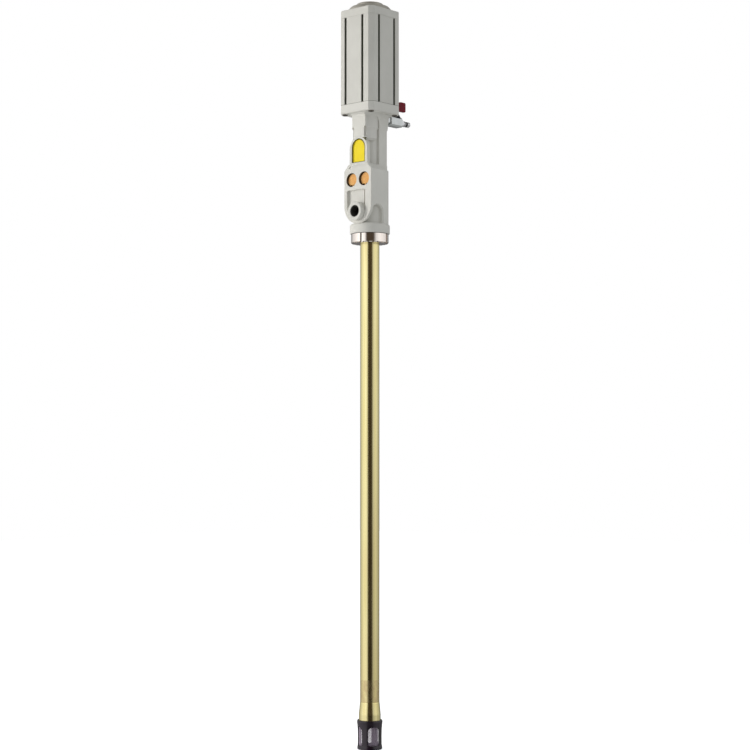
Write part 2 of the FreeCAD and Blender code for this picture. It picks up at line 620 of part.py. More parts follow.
def valve_cover():
    cover = revolved([
        (0, SPOOL_FLOOR + 4), (COVER_SPIGOT_R - SLIP, SPOOL_FLOOR + 4),
        (COVER_SPIGOT_R - SLIP, CAP_STEP_TOP),
        (COVER_R, CAP_STEP_TOP), (COVER_R, COVER_TOP - 2.5), (COVER_R - 0.8, COVER_TOP - 0.8),
        (COVER_R - 2.5, COVER_TOP), (0, COVER_TOP),
    ])
    cuts = [zcyl(SPOOL_HEAD_R + 1.5, SPOOL_FLOOR, SPOOL_FLOOR + 2 + SPOOL_TRAVEL + 0.6)]
    for side in (-1, 1):
        cuts.append(zcyl(2.5, COVER_TOP - 3, COVER_TOP + 1, side * (COVER_R - 9), 0))
    return cut(cover, cuts)


def tie_bolts():
    bolts = []
    for x, y in bolt_places():
        head = zcyl(BOLT_HEAD_R, BASE_Z + BOLT_SINK - BOLT_HEAD_H, BASE_Z + BOLT_SINK, x, y)
        socket = hexagon(5.0, V(x, y, BASE_Z + BOLT_SINK - BOLT_HEAD_H), V(0, 0, 1), 3.0)
        shank = zcyl(BOLT_R, BASE_Z + BOLT_SINK - 0.5, BARREL_TOP + 10, x, y)
        bolts.append(fused([head.cut(socket), shank]))
    return Part.makeCompound(bolts)


def air_piston():
    z0 = AIR_PISTON_Z
    z1 = z0 + AIR_PISTON_T
    disc = revolved([
        (ROD_STUD_R + SLIP, z0), (MOTOR_BORE - 2.2, z0), (MOTOR_BORE - 0.5, z0 + 1.7),
        (MOTOR_BORE - 0.5, z1 - 1.7), (MOTOR_BORE - 2.2, z1), (18, z1), (16, z1 - 5),
        (11, z1 - 5), (11, z1), (ROD_STUD_R + SLIP, z1),
    ])
    seal = ring(MOTOR_BORE - AIR_SEAL_DEPTH, MOTOR_BORE + 2, AIR_SEAL_Z, AIR_SEAL_Z + AIR_BAND_H)
    band = ring(MOTOR_BORE - AIR_BAND_DEPTH, MOTOR_BORE + 2, AIR_BAND_Z, AIR_BAND_Z + AIR_BAND_H)
    return disc.cut([seal, band])


def piston_ring(depth, z):
    """Seal or guide band in its groove on the air piston."""
    return ring(MOTOR_BORE - depth + SLIP, MOTOR_BORE - RUN, z + SLIP, z + AIR_BAND_H - SLIP)


def piston_rod():
    top = AIR_PISTON_Z + AIR_PISTON_T + 9
    rod = revolved([
        (0, ROD_BOTTOM), (ROD_R - 0.8, ROD_BOTTOM), (ROD_R, ROD_BOTTOM + 0.8), (ROD_R, AIR_PISTON_Z),
        (ROD_STUD_R, AIR_PISTON_Z), (ROD_STUD_R, top - 0.7), (ROD_STUD_R - 0.7, top), (0, top),
    ])
    cuts = [
        zcyl(ROD_BORE, TRIP_COLLAR_Z - STROKE - 8, AIR_PISTON_Z - 2),
        zcyl(TRIP_R + 0.5, AIR_PISTON_Z - 3, top + 1),
        xcyl(PIN_R + SLIP, -20, 20, 0, ROD_BOTTOM + 9),
    ]
    return rod.cut(cuts)


def trip_rod():
    shaft = zcyl(TRIP_R, TRIP_COLLAR_Z, SPOOL_Z0 + 11)
    collar = zcyl(TRIP_COLLAR_R, TRIP_COLLAR_Z, TRIP_COLLAR_Z + TRIP_COLLAR_H)
    collar = chamfered(collar, 0.6, lambda e: e.Curve.TypeId == "Part::GeomCircle")
    return fused([shaft, collar])


def reversing_spool():
    z0 = SPOOL_Z0
    top = SPOOL_FLOOR + LIFT_GAP
    spool = revolved([
        (0, z0), (SPOOL_R - 0.6, z0), (SPOOL_R, z0 + 0.6), (SPOOL_R, z0 + 8), (SPOOL_R - 2.5, z0 + 8),
        (SPOOL_R - 2.5, z0 + 12), (SPOOL_R, z0 + 12), (SPOOL_R, top), (SPOOL_HEAD_R, top),
        (SPOOL_HEAD_R, top + 2), (0, top + 2),
    ])
    cuts = [zcyl(TRIP_R + SLIP, z0 - 1, z0 + 11.1)]
    for z in (z0 + 4, z0 + 16):
        cuts.append(ring(SPOOL_R - 1.8, SPOOL_R + 1, z - 0.95, z + 0.95))
    return spool.cut(cuts)


def rod_coupling():
    sleeve = revolved([
        (DISP_STUD_R + SLIP, DISP_ROD_TOP), (COUPLING_R - 0.8, DISP_ROD_TOP),
        (COUPLING_R, DISP_ROD_TOP + 0.8), (COUPLING_R, COUPLING_TOP - 2), (COUPLING_R - 2, COUPLING_TOP),
        (ROD_R + SLIP, COUPLING_TOP), (ROD_R + SLIP, ROD_BOTTOM), (DISP_STUD_R + SLIP, ROD_BOTTOM),
    ])
    cuts = [xcyl(PIN_R + SLIP, -20, 20, 0, z) for z in (DISP_ROD_TOP + 7, ROD_BOTTOM + 9)]
    return sleeve.cut(cuts)


def coupling_pins():
    pins = [xcyl(PIN_R, -COUPLING_R + 0.6, COUPLING_R - 0.6, 0, z)
            for z in (DISP_ROD_TOP + 7, ROD_BOTTOM + 9)]
    return Part.makeCompound(pins)


def displacement_rod():
    stud = DISP_STUD_R
    rod = revolved([
        (0, DISP_ROD_BOTTOM - 7), (stud, DISP_ROD_BOTTOM - 7), (stud, DISP_ROD_BOTTOM),
        (DISP_ROD_R, DISP_ROD_BOTTOM), (DISP_ROD_R, DISP_ROD_TOP), (stud, DISP_ROD_TOP),
        (stud, ROD_BOTTOM - 0.5), (0, ROD_BOTTOM - 0.5),
    ])
    return rod.cut(xcyl(PIN_R + SLIP, -20, 20, 0, DISP_ROD_TOP + 7))


def rod_gland():
    z0 = GLAND_TOP - GLAND_H
    gland = revolved([
        (DISP_ROD_R + RUN, z0), (GLAND_R - SLIP - 0.6, z0), (GLAND_R - SLIP, z0 + 0.6),
        (GLAND_R - SLIP, GLAND_TOP), (DISP_ROD_R + RUN, GLAND_TOP),
    ])
    cuts = [
        ring(DISP_ROD_R - 1, DISP_ROD_R + 2.6, z0 + 2.5, z0 + 8),
        ring(DISP_ROD_R - 1, DISP_ROD_R + 2.6, GLAND_TOP - 7, GLAND_TOP - 3),
        ring(GLAND_R - 1.9, GLAND_R + 1, z0 + 9.8, z0 + 12.2),
    ]
    return gland.cut(cuts)


def rod_seals():
    z0 = GLAND_TOP - GLAND_H
    inner = DISP_ROD_R + RUN
    outer = DISP_ROD_R + 2.55
    lip = revolved([
        (inner, z0 + 2.6), (inner + 0.9, z0 + 2.6), (inner + 0.9, z0 + 5), (outer - 0.9, z0 + 5),
        (outer - 0.9, z0 + 2.6), (outer, z0 + 2.6), (outer, z0 + 7.9), (inner, z0 + 7.9),
    ])
    wiper = ring(inner, outer, GLAND_TOP - 6.9, GLAND_TOP - 3.1)
    return Part.makeCompound([lip, wiper])


def ring_nut():
    nut = revolved([
        (TUBE_R + 0.6, 0), (NUT_R - 1.5, 0), (NUT_R, 1.5), (NUT_R, NUT_H - 0.8),
        (NUT_R - 0.8, NUT_H), (NUT_THREAD_R, NUT_H), (NUT_THREAD_R, NUT_FLOOR),
        (TUBE_R + 0.6, NUT_FLOOR),
    ])
    cuts = []
    for step in range(NUT_NOTCHES):
        notch = box(NUT_R - NUT_NOTCH_D, NUT_R + 2, -NUT_NOTCH_W / 2, NUT_NOTCH_W / 2, -1, NUT_H + 1)
        notch.rotate(V(0, 0, 0), V(0, 0, 1), NUT_NOTCH_PHASE + 360 / NUT_NOTCHES * step)
        cuts.append(notch)
    for step in range(NUT_TEETH):
        tooth = box(NUT_R - 4, NUT_R + 2, -NUT_TOOTH_W / 2, NUT_TOOTH_W / 2, -1, NUT_TOOTH_D)
        tooth.rotate(V(0, 0, 0), V(0, 0, 1), 7.5 + 360 / NUT_TEETH * step)
        cuts.append(tooth)
    return nut.cut(cuts)


def suction_tube():
    top = NUT_FLOOR + COLLAR_T
    return revolved([
        (TUBE_BORE, TUBE_BOTTOM), (TUBE_R - 0.3, TUBE_BOTTOM), (TUBE_R, TUBE_BOTTOM + 0.3),
        (TUBE_R, NUT_FLOOR), (COLLAR_R, NUT_FLOOR), (COLLAR_R, top), (TUBE_BORE, top),
    ])


def pump_piston():
    shoulder = PISTON_SEAT_TOP + 8
    neck_top = DISP_ROD_BOTTOM
    piston = revolved([
        (0, PISTON_BOTTOM), (TUBE_BORE - 0.9, PISTON_BOTTOM), (TUBE_BORE - 0.1, PISTON_BOTTOM + 0.8),
        (TUBE_BORE - 0.1, shoulder), (DISP_ROD_R, shoulder + 3), (DISP_ROD_R, neck_top), (0, neck_top),
    ])
    roof = neck_top - 7
    cuts = [
        zcyl(PISTON_BALL_R + 1.2, PISTON_SEAT_TOP - 1, roof),
        zcyl(DISP_STUD_R + SLIP, roof - 1, neck_top + 1),
        zcyl(PISTON_SCREW_R, PISTON_BOTTOM - 1, PISTON_SEAT_TOP),
        ring(TUBE_BORE - 2.6, TUBE_BORE + 2, PISTON_BOTTOM + 6, PISTON_BOTTOM + 13),
    ]
    for quarter in range(4):
        port = ycyl(2.4, 4, 20, 0, roof - 3.4)
        port.rotate(V(0, 0, 0), V(0, 0, 1), 45 + 90 * quarter)
        cuts.append(port)
    return piston.cut(cuts)


def seated_ball(radius, seat_radius, seat_top):
    height = math.sqrt(radius ** 2 - seat_radius ** 2)
    return Part.makeSphere(radius, V(0, 0, seat_top + height + 0.05))


def piston_valve_seat():
    outer = PISTON_SCREW_R - SLIP
    return revolved([
        (PISTON_SEAT_R + 1, PISTON_BOTTOM), (outer, PISTON_BOTTOM), (outer, PISTON_SEAT_TOP),
        (PISTON_SEAT_R, PISTON_SEAT_TOP), (PISTON_SEAT_R, PISTON_BOTTOM + 1),
    ])


def foot_valve_body():
    foot = revolved([
        (0, FOOT_BOTTOM), (FOOT_FLARE_R - 0.4, FOOT_BOTTOM), (FOOT_FLARE_R, FOOT_BOTTOM + 0.4),
        (FOOT_FLARE_R, FOOT_FLARE_Z - 3), (FOOT_FLARE_R - 0.25, FOOT_FLARE_Z),
        (TUBE_R + 0.3, TUBE_BOTTOM - 2), (TUBE_R, TUBE_BOTTOM), (TUBE_BORE - SLIP, TUBE_BOTTOM),
        (TUBE_BORE - SLIP, FOOT_TOP), (0, FOOT_TOP),
    ])
    cuts = [
        zcyl(FOOT_CHAMBER_R, FOOT_SEAT_TOP, FOOT_TOP + 1),
        zcyl(FOOT_SCREW_R, FOOT_BOTTOM - 1, FOOT_SEAT_TOP),
        xcyl(PIN_R + SLIP, -TUBE_R, TUBE_R, 0, STOP_PIN_Z),
    ]
    return foot.cut(cuts)


def foot_valve_seat():
    outer = FOOT_SCREW_R - SLIP
    z0 = FOOT_SEAT_TOP - 9
    return revolved([
        (FOOT_SEAT_R + 2, z0), (outer, z0), (outer, FOOT_SEAT_TOP), (FOOT_SEAT_R, FOOT_SEAT_TOP),
        (FOOT_SEAT_R, z0 + 2),
    ])


def strainer_cage():
    cage = revolved([
        (0, STRAINER_BOTTOM), (STRAINER_BOTTOM_R - 1.5, STRAINER_BOTTOM),
        (STRAINER_BOTTOM_R, STRAINER_BOTTOM + 1.2), (STRAINER_BOTTOM_R, STRAINER_BOTTOM + 4),
        (STRAINER_WAIST_R, STRAINER_BOTTOM + 8),
        (STRAINER_WAIST_R - 0.1, STRAINER_TOP - 29), (STRAINER_WAIST_R + 0.2, STRAINER_TOP - 14),
        (STRAINER_WAIST_R + 0.8, STRAINER_TOP - 8),
        (STRAINER_TOP_R, STRAINER_TOP - 3), (STRAINER_TOP_R - 0.5, STRAINER_TOP - 0.6),
        (STRAINER_TOP_R - 1.4, STRAINER_TOP), (0, STRAINER_TOP),
    ])
    cuts = [zcyl(STRAINER_BORE, STRAINER_FLOOR, STRAINER_TOP + 1)]
    tall = WINDOW_Z1 - WINDOW_Z0
    for quarter in range(4):
        window = box(12, 40, -WINDOW_W / 2, WINDOW_W / 2, WINDOW_Z0, WINDOW_Z0 + tall)
        window = rounded(window, 2.0, lambda e: e.BoundBox.XLength > 20 and e.BoundBox.ZMax < WINDOW_Z0 + 1)
        window = rounded(window, 7.5, lambda e: e.BoundBox.XLength > 20 and e.BoundBox.ZMin > WINDOW_Z1 - 1)
        window.rotate(V(0, 0, 0), V(0, 0, 1), WINDOW_PHASE + 90 * quarter)
        cuts.append(window)
        drain = zcyl(4.0, STRAINER_BOTTOM - 1, STRAINER_BOTTOM + 5, 11.5, 0)
        drain.rotate(V(0, 0, 0), V(0, 0, 1), 45 + 90 * quarter)
        cuts.append(drain)
    return cut(cage, cuts)


def strainer_mesh():
    outer = STRAINER_BORE - SLIP
    inner = outer - MESH_T
    z0 = STRAINER_FLOOR
    return revolved([
        (0, z0), (outer, z0), (outer, FOOT_BOTTOM), (inner, FOOT_BOTTOM), (inner, z0 + MESH_T),
        (0, z0 + MESH_T),
    ])


def silencer_discs():
    seat = SILENCER_FACE + SILENCER_T
    return Part.makeCompound([
        ycyl(SILENCER_R - SLIP, SILENCER_FACE, seat, side * SILENCER_X, SILENCER_Z)
        for side in (-1, 1)])


def silencer_circlips():
    clips = []
    for side in (-1, 1):
        x = side * SILENCER_X
        y0 = SILENCER_FACE - CLIP_T
        outer = ycyl(SILENCER_R + CLIP_DEPTH - 0.1, y0, SILENCER_FACE, x, SILENCER_Z)
        inner = ycyl(SILENCER_R - 1.3, y0 - 1, SILENCER_FACE + 1, x, SILENCER_Z)
        gap = box(x - 2.2, x + 2.2, y0 - 1, SILENCER_FACE + 1, SILENCER_Z - 20, SILENCER_Z - 5)
        clip = outer.cut([inner, gap])
        lugs = [ycyl(1.9, y0, SILENCER_FACE, x + s * 3.4, SILENCER_Z - SILENCER_R + 2.3)
                for s in (-1, 1)]
        eyes = [ycyl(0.7, y0 - 1, SILENCER_FACE + 1, x + s * 3.4, SILENCER_Z - SILENCER_R + 2.3)
                for s in (-1, 1)]
        clips.append(fused([clip] + lugs).cut(eyes))
    return Part.makeCompound(clips)


def name_label():
    floor = NAME_FRONT + LABEL_DEPTH
    face = arch_face(LABEL_W - 0.3, LABEL_Z0 + 0.15, LABEL_Z1 - 0.15, floor - LABEL_T)
    return face.extrude(V(0, LABEL_T, 0))


def inlet_nipple():
    inner = INLET_FACE - THREAD_L
    stem = ycyl(INLET_THREAD_R, inner, NIPPLE_END, 0, INLET_Z)
    hexed = hexagon(NIPPLE_HEX, V(0, MOTOR_HALF + 1, INLET_Z), V(0, 1, 0), VALVE_Y0 - MOTOR_HALF - 2)
    return fused([stem, hexed]).cut(ycyl(AIR_BORE, inner - 1, NIPPLE_END + 1, 0, INLET_Z))


def valve_body():
    half = VALVE_AF / 2
    block = octagon_prism(half, VALVE_CHAMFER, VALVE_Y0, VALVE_Y1)
    block.rotate(V(0, 0, 0), V(1, 0, 0), -90)
    block.translate(V(0, 0, INLET_Z))
    block = chamfered(block, 1.4, lambda e: e.BoundBox.YLength < 0.01)
    bonnet = Part.makeCone(
        BONNET_R, BONNET_TOP_R, BONNET_TOP - INLET_Z - half + 1, V(0, VALVE_Y, INLET_Z + half - 1))
    body = fused([block, bonnet])
    cuts = [
        ycyl(VALVE_BORE, VALVE_Y0 - 1, VALVE_Y1 + 1, 0, INLET_Z),
        zcyl(STEM_R + RUN, INLET_Z, BONNET_TOP + 1, 0, VALVE_Y),
    ]
    return cut(body, cuts)


def valve_ball():
    ball = Part.makeSphere(VALVE_BALL_R, V(0, VALVE_Y, INLET_Z))
    slot = box(-1.1, 1.1, VALVE_Y - 8, VALVE_Y + 8, INLET_Z + VALVE_BALL_R - 1.9, INLET_Z + 9)
    return ball.cut([ycyl(AIR_BORE, VALVE_Y - 9, VALVE_Y + 9, 0, INLET_Z), slot])


def valve_seats():
    seats = []
    hollow = Part.makeSphere(VALVE_BALL_R + RUN, V(0, VALVE_Y, INLET_Z))
    for y0 in (NIPPLE_END, VALVE_Y + VALVE_SEAT_END - SEAT_T):
        seat = ycyl(VALVE_BORE - SLIP, y0, y0 + SEAT_T, 0, INLET_Z)
        seats.append(seat.cut([ycyl(AIR_BORE, y0 - 1, y0 + 5, 0, INLET_Z), hollow]))
    return Part.makeCompound(seats)


def valve_stem():
    z_tang = INLET_Z + VALVE_BALL_R - 1.8
    tang = box(-1.0, 1.0, VALVE_Y - 2.2, VALVE_Y + 2.2, z_tang, INLET_Z + VALVE_BALL_R + 0.3)
    shoulder = BONNET_TOP + GLAND_NUT_H + 0.4
    low = zcyl(STEM_R, INLET_Z + VALVE_BALL_R + 0.2, shoulder, 0, VALVE_Y)
    high = zcyl(STEM_TIP_R, shoulder - 0.4, HUB_TOP + 4.8, 0, VALVE_Y)
    return fused([tang, low, high])


def stem_gland():
    nut = hexagon(10.0, V(0, VALVE_Y, BONNET_TOP), V(0, 0, 1), GLAND_NUT_H)
    return nut.cut(zcyl(STEM_R + RUN, BONNET_TOP - 1, BONNET_TOP + 5, 0, VALVE_Y))


def valve_handle():
    """Two-winged handle: a hub on the stem with a raised flat wing on each side."""
    half = HANDLE_SPAN / 2
    foot = HANDLE_Z0 - HUB_DROP
    side = [
        V(0, 0, foot), V(0, HUB_R, foot), V(0, HUB_R + 2, HANDLE_Z0), V(0, half, HANDLE_Z0),
        V(0, half, HANDLE_Z1), V(0, HUB_R + 5, HANDLE_Z1), V(0, HUB_R + 1, HUB_TOP), V(0, 0, HUB_TOP),
    ]
    wing = polygon_face(side).extrude(V(HANDLE_T, 0, 0))
    wing.translate(V(-HANDLE_T / 2, 0, 0))
    wing = rounded(wing, 2.6, lambda e: e.BoundBox.XLength > 4 and (
        e.BoundBox.YMin > half - 0.1 or e.BoundBox.ZMin > HANDLE_Z1 - 0.1))
    other = wing.mirror(V(0, 0, 0), V(0, 1, 0))
    hub = zcyl(HUB_R, foot, HUB_TOP)
    handle = fused([wing, other, hub]).cut(zcyl(STEM_TIP_R + SLIP, foot - 1, HANDLE_Z1 + 1))
    handle.translate(V(0, VALVE_Y, 0))
    return handle


def handle_nut():
    nut = hexagon(8.0, V(0, VALVE_Y, HUB_TOP), V(0, 0, 1), 3.6)
    return nut.cut(zcyl(STEM_TIP_R + SLIP, HUB_TOP - 1, HUB_TOP + 5, 0, VALVE_Y))


def quick_plug():
    y1 = VALVE_Y1
    plug = revolved([
        (0, y1 - SCREW_IN), (INLET_THREAD_R, y1 - SCREW_IN), (INLET_THREAD_R, y1 + 1), (PLUG_R + 0.4, y1 + 1),
        (PLUG_R + 0.4, y1 + 7), (PLUG_R, y1 + 8), (PLUG_R, y1 + 14), (PLUG_TIP_R - 1.3, y1 + 15.5),
        (PLUG_TIP_R - 1.3, y1 + 18), (PLUG_TIP_R, y1 + 19.5), (PLUG_TIP_R, PLUG_END - 1.6),
        (PLUG_TIP_R - 1.2, PLUG_END), (0, PLUG_END),
    ], V(0, 0, INLET_Z), True)
    hexed = hexagon(PLUG_HEX, V(0, y1, INLET_Z), V(0, 1, 0), 6)
    return fused([plug, hexed]).cut(ycyl(2.8, y1 - 6, PLUG_END + 1, 0, INLET_Z))


def rod_bush():
    return ring(ROD_R + RUN, BUSH_R - SLIP, BUSH_Z0, BUSH_TOP)


def build_nodes():
    piston_top = AIR_PISTON_Z + AIR_PISTON_T
    nut = hexagon(2 * ROD_STUD_R + 7, V(0, 0, piston_top), V(0, 0, 1), 7.0)
    gland_low = GLAND_TOP - GLAND_H
    circlip = ring(GLAND_R - 2.4, GLAND_R + 1.2, gland_low - 1.8, gland_low - 0.1)
    circlip = circlip.cut(box(0, 2 * GLAND_R, -3, 3, gland_low - 5, gland_low + 5))
    return {
        "pump_body": pump_body(),
        "motor_cylinder": motor_cylinder(),
        "motor_top_cap": motor_top_cap(),
        "valve_cover": valve_cover(),
        "tie_bolts": tie_bolts(),
        "base_seal": o_ring(MOTOR_BORE - SEAL_GROOVE / 2, SEAL_SECTION, BARREL_Z + 2.5),
        "cap_seal": o_ring(MOTOR_BORE - SEAL_GROOVE / 2, SEAL_SECTION, BARREL_TOP - 2.5),
        "air_piston": air_piston(),
        "air_piston_seal": piston_ring(AIR_SEAL_DEPTH, AIR_SEAL_Z),
        "piston_guide_band": piston_ring(AIR_BAND_DEPTH, AIR_BAND_Z),
        "piston_rod": piston_rod(),
        "piston_nut": nut.cut(zcyl(ROD_STUD_R + SLIP, piston_top - 1, piston_top + 9)),
        "trip_rod": trip_rod(),
        "reversing_spool": reversing_spool(),
        "spool_seals": Part.makeCompound([o_ring(SPOOL_R - 0.9, 0.85, SPOOL_Z0 + z) for z in (4, 16)]),
        "lower_trip_spring": coil(
            TRIP_R + 1.2, SPRING_WIRE, TRIP_COLLAR_Z + TRIP_COLLAR_H, AIR_PISTON_Z - 2.1, 4),
        "upper_trip_spring": coil(TRIP_R + 1.9, SPRING_WIRE, SPOOL_Z0 - 18, SPOOL_Z0, 6),
        "rod_bush": rod_bush(),
        "rod_coupling": rod_coupling(),
        "coupling_pins": coupling_pins(),
        "displacement_rod": displacement_rod(),
        "rod_gland": rod_gland(),
        "rod_seals": rod_seals(),
        "gland_o_ring": o_ring(GLAND_R - 0.97, 0.9, gland_low + 11),
        "gland_circlip": circlip,
        "ring_nut": ring_nut(),
        "tube_gasket": ring(
            CHAMBER_R + 0.5, COLLAR_R, NUT_FLOOR + COLLAR_T, NUT_FLOOR + COLLAR_T + GASKET_T),
        "suction_tube": suction_tube(),
        "pump_piston": pump_piston(),
        "pump_piston_seal": ring(
            TUBE_BORE - 2.55, TUBE_BORE - RUN, PISTON_BOTTOM + 6.05, PISTON_BOTTOM + 12.95),
        "piston_valve_ball": seated_ball(PISTON_BALL_R, PISTON_SEAT_R, PISTON_SEAT_TOP),
        "piston_valve_seat": piston_valve_seat(),
        "foot_valve_body": foot_valve_body(),
        "foot_valve_ball": seated_ball(FOOT_BALL_R, FOOT_SEAT_R, FOOT_SEAT_TOP),
        "foot_valve_seat": foot_valve_seat(),
        "ball_stop_pin": xcyl(PIN_R, 0.5 - TUBE_BORE, TUBE_BORE - 0.5, 0, STOP_PIN_Z),
        "strainer_cage": strainer_cage(),
        "strainer_mesh": strainer_mesh(),
        "silencer_discs": silencer_discs(),
        "silencer_circlips": silencer_circlips(),
        "name_label": name_label(),
        "inlet_nipple": inlet_nipple(),
        "valve_body": valve_body(),
        "valve_ball": valve_ball(),
        "valve_seats": valve_seats(),
        "valve_stem": valve_stem(),
        "stem_gland": stem_gland(),
        "valve_handle": valve_handle(),
        "handle_nut": handle_nut(),
        "quick_plug": quick_plug(),
    }


os.makedirs("parts", exist_ok=True)
for name, shape in build_nodes().items():
    shape.exportStep("parts/" + name + ".step")
    print(name, len(shape.Solids), shape.isValid(), round(shape.Volume, 1))
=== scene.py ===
"""Pneumatic oil pump: finishes, woven strainer, outlet thread, light and camera round the solids."""

import json
import math

import bpy
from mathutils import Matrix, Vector


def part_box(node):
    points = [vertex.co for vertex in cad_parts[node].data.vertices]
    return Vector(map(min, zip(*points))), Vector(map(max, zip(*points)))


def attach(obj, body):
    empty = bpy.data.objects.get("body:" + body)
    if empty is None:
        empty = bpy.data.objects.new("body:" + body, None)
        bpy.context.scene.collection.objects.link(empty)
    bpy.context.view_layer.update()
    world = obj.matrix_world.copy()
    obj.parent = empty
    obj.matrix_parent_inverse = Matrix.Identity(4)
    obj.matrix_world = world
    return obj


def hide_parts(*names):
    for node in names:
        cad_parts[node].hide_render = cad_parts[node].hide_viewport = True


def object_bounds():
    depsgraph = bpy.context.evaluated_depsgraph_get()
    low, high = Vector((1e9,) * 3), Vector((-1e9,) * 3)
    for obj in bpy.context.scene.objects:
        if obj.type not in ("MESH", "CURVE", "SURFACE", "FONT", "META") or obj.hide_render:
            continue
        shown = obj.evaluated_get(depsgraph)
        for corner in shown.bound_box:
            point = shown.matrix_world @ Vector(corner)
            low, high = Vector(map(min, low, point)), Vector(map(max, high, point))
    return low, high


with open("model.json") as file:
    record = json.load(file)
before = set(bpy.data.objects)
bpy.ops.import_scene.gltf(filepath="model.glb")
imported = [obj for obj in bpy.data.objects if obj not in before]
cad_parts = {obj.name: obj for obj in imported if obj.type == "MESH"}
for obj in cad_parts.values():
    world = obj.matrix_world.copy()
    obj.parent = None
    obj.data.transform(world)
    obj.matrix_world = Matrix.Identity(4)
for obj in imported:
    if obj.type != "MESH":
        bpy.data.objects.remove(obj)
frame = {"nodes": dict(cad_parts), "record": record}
nodes = frame["nodes"]
cad_box = [list(corner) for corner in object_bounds()]

# Camera, from the photograph: metres and radians, with lens and sensor in millimetres
AXIS_DISTANCE = 3.275
CAMERA_AZIMUTH = math.radians(42.0)
CAMERA_HEIGHT = -0.3963
CAMERA_TILT = math.radians(2.62)
CAMERA_ASIDE = 0.0097
CAMERA_LENS = 84.1
CAMERA_SENSOR = 36

# Where the finish changes on the motor, and where painted shade and a painted dark reflection lie in the
# barrel's grooves, on the valve's bonnet and on the plug, in metres
CAP_STEP_H = 0.0088
CAP_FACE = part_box("motor_top_cap")[1].z - CAP_STEP_H
MOTOR_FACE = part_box("motor_cylinder")[1].x
GROOVE_RIM = 0.0012
GROOVE_REACH = 0.028
BARREL_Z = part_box("motor_cylinder")[0].z
JOINT_LINE = 0.0008
BONNET_SHADE_H = 0.0082
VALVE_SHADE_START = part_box("valve_body")[1].z - BONNET_SHADE_H
PLUG_TIP_L = 0.0125
PLUG_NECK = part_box("quick_plug")[1].y - PLUG_TIP_L
PLUG_NECK_L = 0.004
PLUG_COLLAR_L = 0.0016

# Shaded places on the casting and its label, in metres, kept a skin away from the faces beside them
SKIN = 0.0004
RECESS_WALL = 0.0012
OUTLET_Z = 0.058
OUTLET_FACE = -0.043
OUTLET_MOUTH = 0.0117
MOUTH_BEVEL = 0.0012
BORE_END = -0.012
DISC_SINK = 0.0045
PLATE_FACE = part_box("silencer_discs")[0].y - DISC_SINK
DISC_R = 0.013
DISC_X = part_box("silencer_discs")[1].x - DISC_R
DISC_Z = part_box("silencer_discs")[1].z - DISC_R
WELL_DEPTH = 0.0055
LABEL_WALL_START = 0.0023
LABEL_SHADE_LINE = 0.0016
LABEL_SHADE_SHIFT = 0.0027

# Shaded edge of the nut and handled band of the tube, in metres
NUT_EDGE_H = 0.0009
NUT_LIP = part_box("ring_nut")[1].z - NUT_EDGE_H
BAND_TOP = -0.812
BAND_BOTTOM = -0.853

# Woven strainer: metres, counts, and shares of the wire's radius
WIRE_R = 0.0003
WIRES = 44
WIRE_SIDES = 4
WEAVE = 0.9
WIRE_INSET = 2.2

# Outlet thread: metres, a count, and a share of the pitch
THREAD_R = 0.0104
THREAD_L = 0.017
THREAD_PITCH = 0.0018
THREAD_START = 0.0025
THREAD_ROOT = 0.0004
THREAD_CREST = 0.0009
THREAD_STEPS = 40
THREAD_WIDTH = 0.9

# Finishes: levels of 255 that the casting is paler by, and strengths from 0 to 1
CAST_PALER = 9
TURNED_METALLIC = 0.45
JOINT_SHADE = 0.6
# Share of the metal look taken from the valve's bonnet under its painted shade
BONNET_SHADE_DULLING = 0.6

# Studio: floor and lamps in metres
FLOOR_SIZE = 14
FLOOR_GAP = 0.0005
FLOOR_GLOW = 0.75
LAMP_TARGET = (0, 0, -0.2)
LAMP_HEIGHT = 3.0
WHITE = (1, 1, 1, 1)
SOFT_LIGHT = (0.485, 0.5, 0.505, 1)

# Studio as shiny metal sees it, by degrees right of the camera, above and below eye level
GAP_ABOVE = (0.068, 0.05, 0.034, 1)
GAP_BELOW = (0.028, 0.021, 0.013, 1)
LEVELS_ABOVE = (
    (-180, 0.16), (-150, 0.35), (-120, 0.8), (-80, 1.25), (-45, 1.3), (-30, 1.0), (-19, GAP_ABOVE),
    (24, GAP_ABOVE), (42, 0.85), (70, 1.1), (115, 0.75), (150, 0.25), (180, 0.16),
)
LEVELS_BELOW = (
    (-180, 0.16), (-150, 0.3), (-120, 0.65), (-80, 1.0), (-45, 1.05), (-30, 0.8), (-19, GAP_BELOW),
    (24, GAP_BELOW), (42, 0.5), (70, 0.66), (115, 0.42), (150, 0.2), (180, 0.16),
)
EYE_LEVEL_LOW = -0.12
EYE_LEVEL_HIGH = 0.10
STEEP_START = 0.3
STEEP_FULL = 0.5
STEEP_LIGHT = (0.42, 0.42, 0.41, 1)


def srgb(red, green, blue):
    """A colour as seen on screen, 0 to 255, in the linear values that a shader takes."""
    linear = []
    for value in (red, green, blue):
        part = value / 255
        linear.append(part / 12.92 if part <= 0.04045 else ((part + 0.055) / 1.055) ** 2.4)
    return (*linear, 1.0)


def colour_ramp(tree, factor, stops):
    """Colours, or plain levels, at places from 0 to 1."""
    node = tree.nodes.new("ShaderNodeValToRGB")
    elements = node.color_ramp.elements
    while len(elements) < len(stops):
        elements.new(0.5)
    for element, (position, tone) in zip(elements, stops):
        element.position = position
        element.color = tone if isinstance(tone, tuple) else (tone, tone, tone, 1)
    tree.links.new(factor, node.inputs["Fac"])
    return node.outputs["Color"]


def mixed(tree, factor, first, second):
    """The first colour where the factor is 0 and the second where it is 1."""
    node = tree.nodes.new("ShaderNodeMix")
    node.data_type = "RGBA"
    tree.links.new(factor, node.inputs[0])
    for index, value in ((6, first), (7, second)):
        if isinstance(value, tuple):
            node.inputs[index].default_value = value
        else:
            tree.links.new(value, node.inputs[index])
    return node.outputs[2]


